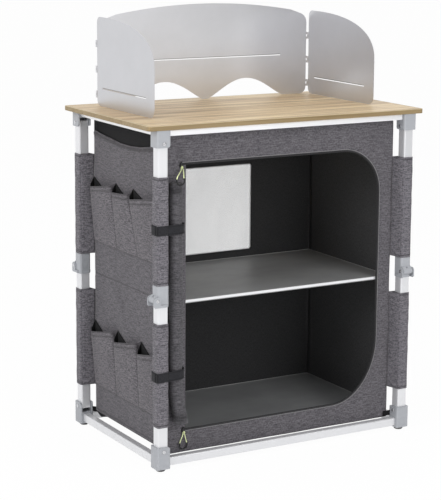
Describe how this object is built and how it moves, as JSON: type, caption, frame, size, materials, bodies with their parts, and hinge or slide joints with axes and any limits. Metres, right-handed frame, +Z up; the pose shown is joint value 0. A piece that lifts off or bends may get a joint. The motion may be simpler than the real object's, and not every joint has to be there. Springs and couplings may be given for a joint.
{
  "type": "folding camp kitchen",
  "caption": "Folding camp kitchen: bamboo worktop with a folding windshield, knee-jointed legs between tube frames, and a hanging fabric cabinet with shelves, side pockets and a rolled door.",
  "frame": {"origin": "on the floor under the middle of the unit, at the level of the feet's undersides", "axes": "+X to the right along the worktop's length, +Y to the rear, where the windshield stands, +Z up"},
  "size_m": [0.82, 0.504, 1.1413],
  "materials": {
    "aluminium_tube": "satin anodised",
    "bracket_plastic": "moulded, light grey",
    "bamboo": "bamboo board, clear satin lacquer",
    "windshield_sheet": "brushed sheet",
    "foot_rubber": "matt",
    "heather_fabric": "heather woven polyester",
    "sleeve_fabric": "dark woven polyester",
    "lining_fabric": "black coated lining",
    "window_mesh": "fine light mesh",
    "shelf_board": "grey laminate, pale edge",
    "pull_rubber": "soft matt, with a pale green cord"
  },
  "bodies": {
    "base_frame": {"front_bottom_rail": "aluminium_tube", "rear_bottom_rail": "aluminium_tube", "left_bottom_rail": "aluminium_tube", "right_bottom_rail": "aluminium_tube", "left_front_lower_bracket": "bracket_plastic", "right_front_lower_bracket": "bracket_plastic", "right_rear_lower_bracket": "bracket_plastic", "left_rear_lower_bracket": "bracket_plastic", "left_front_foot": "foot_rubber", "right_front_foot": "foot_rubber", "right_rear_foot": "foot_rubber", "left_rear_foot": "foot_rubber"},
    "left_front_lower": {"left_front_lower_leg": "aluminium_tube", "left_front_lower_knee": "bracket_plastic", "left_front_lower_sleeve": "sleeve_fabric"},
    "left_front_upper": {"left_front_upper_leg": "aluminium_tube", "left_front_upper_knee": "bracket_plastic", "left_front_upper_sleeve": "sleeve_fabric"},
    "right_front_lower": {"right_front_lower_leg": "aluminium_tube", "right_front_lower_knee": "bracket_plastic", "right_front_lower_sleeve": "sleeve_fabric"},
    "right_front_upper": {"right_front_upper_leg": "aluminium_tube", "right_front_upper_knee": "bracket_plastic", "right_front_upper_sleeve": "sleeve_fabric"},
    "right_rear_lower": {"right_rear_lower_leg": "aluminium_tube", "right_rear_lower_knee": "bracket_plastic", "right_rear_lower_sleeve": "sleeve_fabric"},
    "right_rear_upper": {"right_rear_upper_leg": "aluminium_tube", "right_rear_upper_knee": "bracket_plastic", "right_rear_upper_sleeve": "sleeve_fabric"},
    "left_rear_lower": {"left_rear_lower_leg": "aluminium_tube", "left_rear_lower_knee": "bracket_plastic", "left_rear_lower_sleeve": "sleeve_fabric"},
    "left_rear_upper": {"left_rear_upper_leg": "aluminium_tube", "left_rear_upper_knee": "bracket_plastic", "left_rear_upper_sleeve": "sleeve_fabric"},
    "top_frame": {"worktop": "bamboo", "front_top_rail": "aluminium_tube", "rear_top_rail": "aluminium_tube", "left_top_rail": "aluminium_tube", "right_top_rail": "aluminium_tube", "left_front_upper_bracket": "bracket_plastic", "right_front_upper_bracket": "bracket_plastic", "right_rear_upper_bracket": "bracket_plastic", "left_rear_upper_bracket": "bracket_plastic", "front_panel": "heather_fabric", "back_panel": "lining_fabric", "left_panel": "heather_fabric", "right_panel": "heather_fabric", "mesh_window": "window_mesh", "rolled_door": "heather_fabric", "upper_strap": "sleeve_fabric", "lower_strap": "sleeve_fabric"},
    "middle_shelf": {"middle_shelf": "shelf_board"},
    "bottom_shelf": {"bottom_shelf": "shelf_board"},
    "windshield": {"windshield_back": "windshield_sheet"},
    "left_wing": {"windshield_left_wing": "windshield_sheet"},
    "right_wing": {"windshield_right_wing": "windshield_sheet"},
    "upper_zip": {"upper_zip_pull": "pull_rubber"},
    "lower_zip": {"lower_zip_pull": "pull_rubber"}
  },
  "joints": [
    {"name": "left_front_lower_fold", "type": "hinge", "parent": "base_frame", "child": "left_front_lower", "pos_m": [-0.3675, -0.2245, 0.054], "axis": [0, 1, 0], "range_deg": [0, 90], "deforming": ["front_panel", "back_panel", "left_panel", "right_panel", "mesh_window", "rolled_door", "upper_strap", "lower_strap", "upper_zip_pull", "lower_zip_pull"]},
    {"name": "left_front_knee_fold", "type": "hinge", "parent": "left_front_lower", "child": "left_front_upper", "pos_m": [-0.3855, -0.2245, 0.4445], "axis": [0, 1, 0], "range_deg": [-180, 0]},
    {"name": "right_front_lower_fold", "type": "hinge", "parent": "base_frame", "child": "right_front_lower", "pos_m": [0.3675, -0.2245, 0.054], "axis": [-1, 0, 0], "range_deg": [0, 90]},
    {"name": "right_front_knee_fold", "type": "hinge", "parent": "right_front_lower", "child": "right_front_upper", "pos_m": [0.3675, -0.2425, 0.4445], "axis": [-1, 0, 0], "range_deg": [-180, 0]},
    {"name": "right_rear_lower_fold", "type": "hinge", "parent": "base_frame", "child": "right_rear_lower", "pos_m": [0.3675, 0.2245, 0.054], "axis": [0, -1, 0], "range_deg": [0, 90]},
    {"name": "right_rear_knee_fold", "type": "hinge", "parent": "right_rear_lower", "child": "right_rear_upper", "pos_m": [0.3855, 0.2245, 0.4445], "axis": [0, -1, 0], "range_deg": [-180, 0]},
    {"name": "left_rear_lower_fold", "type": "hinge", "parent": "base_frame", "child": "left_rear_lower", "pos_m": [-0.3675, 0.2245, 0.054], "axis": [1, 0, 0], "range_deg": [0, 90]},
    {"name": "left_rear_knee_fold", "type": "hinge", "parent": "left_rear_lower", "child": "left_rear_upper", "pos_m": [-0.3675, 0.2425, 0.4445], "axis": [1, 0, 0], "range_deg": [-180, 0]},
    {"name": "left_front_top_fold", "type": "hinge", "parent": "left_front_upper", "child": "top_frame", "pos_m": [-0.3675, -0.2245, 0.835], "axis": [0, 1, 0], "range_deg": [0, 90]},
    {"name": "middle_shelf_travel", "type": "slide", "parent": "top_frame", "child": "middle_shelf", "axis": [0, 0, 1], "range_m": [0, 0.397]},
    {"name": "bottom_shelf_travel", "type": "slide", "parent": "top_frame", "child": "bottom_shelf", "axis": [0, 0, 1], "range_m": [0, 0.73]},
    {"name": "windshield_lift", "type": "slide", "parent": "top_frame", "child": "windshield", "axis": [0, 0, 1], "range_m": [0, 0.3]},
    {"name": "left_wing_swing", "type": "hinge", "parent": "windshield", "child": "left_wing", "pos_m": [-0.331, 0.2065, 0.88], "axis": [0, 0, 1], "range_deg": [-90, 90]},
    {"name": "right_wing_swing", "type": "hinge", "parent": "windshield", "child": "right_wing", "pos_m": [0.331, 0.2065, 0.88], "axis": [0, 0, 1], "range_deg": [-90, 90]},
    {"name": "upper_zip_slide", "type": "slide", "parent": "top_frame", "child": "upper_zip", "axis": [1, 0, 0], "range_m": [0, 0.46]},
    {"name": "lower_zip_slide", "type": "slide", "parent": "bottom_shelf", "child": "lower_zip", "axis": [1, 0, 0], "range_m": [0, 0.47]}
  ],
  "couplings": [
    {"joint": "left_front_knee_fold", "follows": "left_front_lower_fold", "ratio": -2},
    {"joint": "right_front_lower_fold", "follows": "left_front_lower_fold", "ratio": 1},
    {"joint": "right_front_knee_fold", "follows": "left_front_lower_fold", "ratio": -2},
    {"joint": "right_rear_lower_fold", "follows": "left_front_lower_fold", "ratio": 1},
    {"joint": "right_rear_knee_fold", "follows": "left_front_lower_fold", "ratio": -2},
    {"joint": "left_rear_lower_fold", "follows": "left_front_lower_fold", "ratio": 1},
    {"joint": "left_rear_knee_fold", "follows": "left_front_lower_fold", "ratio": -2},
    {"joint": "left_front_top_fold", "follows": "left_front_lower_fold", "ratio": 1},
    {"joint": "middle_shelf_travel", "follows": "left_front_lower_fold", "m_per_rad": 0.2525},
    {"joint": "bottom_shelf_travel", "follows": "left_front_lower_fold", "m_per_rad": 0.4645}
  ]
}
